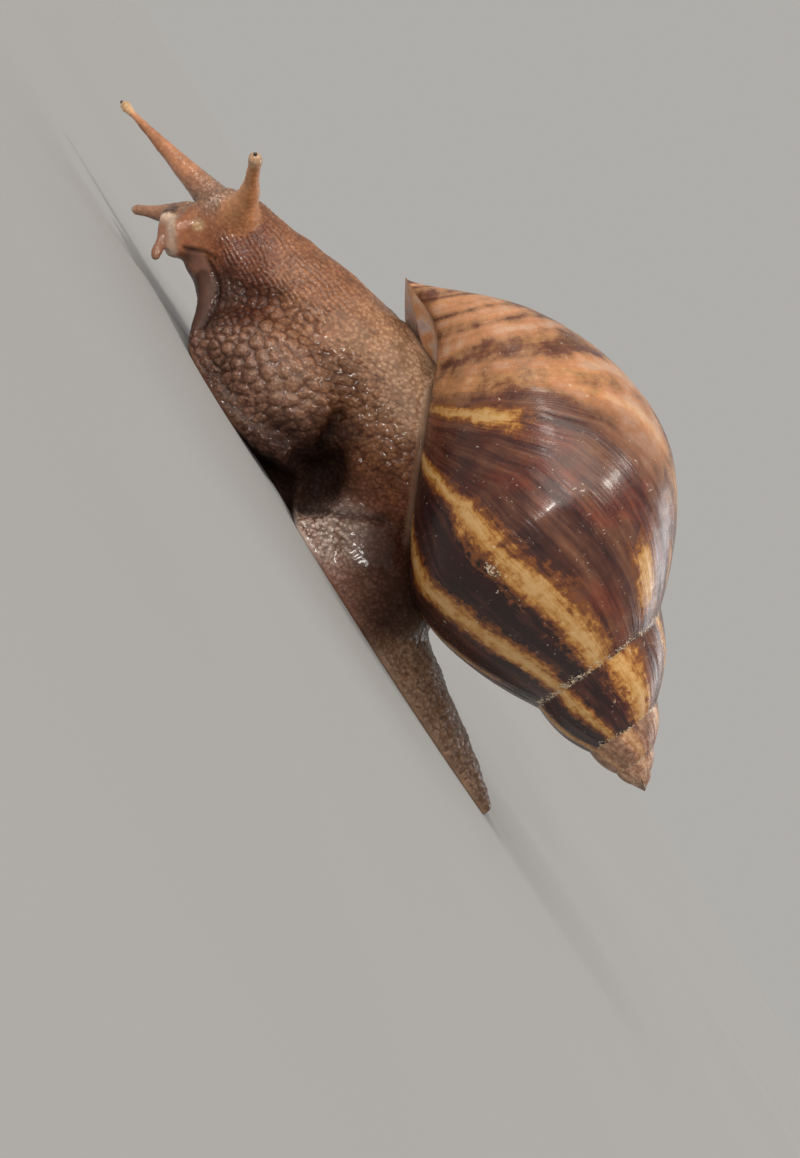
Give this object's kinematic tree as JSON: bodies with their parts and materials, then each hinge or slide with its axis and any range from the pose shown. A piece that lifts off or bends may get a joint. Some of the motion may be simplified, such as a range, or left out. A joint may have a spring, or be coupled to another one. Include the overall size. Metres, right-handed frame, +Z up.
{
  "type": "giant african land snail",
  "caption": "Life-size land snail crawling on its flat foot, neck stretched and head bowed to its left, tall dark spiral shell with ochre streaks.",
  "frame": {"origin": "middle of the bounding box in X and Y, at the height of the sole", "axes": "-X towards the head, +Y towards the animal's right side, +Z up from the floor"},
  "size_m": [0.135, 0.0476, 0.0542],
  "materials": {
    "shell": "polished shell, chocolate brown with ochre growth streaks",
    "skin": "wet beaded skin, grey-brown",
    "mantle": "wet smooth skin, dark brown",
    "eye": "glossy black"
  },
  "bodies": {
    "root": {"shell": "shell", "mantle_collar": "mantle", "column": "skin", "foot_front": "skin", "foot_middle": "skin", "foot_tail": "skin", "head": "skin", "neck": "skin", "tentacle_upper_left": "skin", "tentacle_upper_right": "skin", "tentacle_lower_left": "skin", "tentacle_lower_right": "skin", "eye_left": "eye", "eye_right": "eye"}
  },
  "joints": []
}
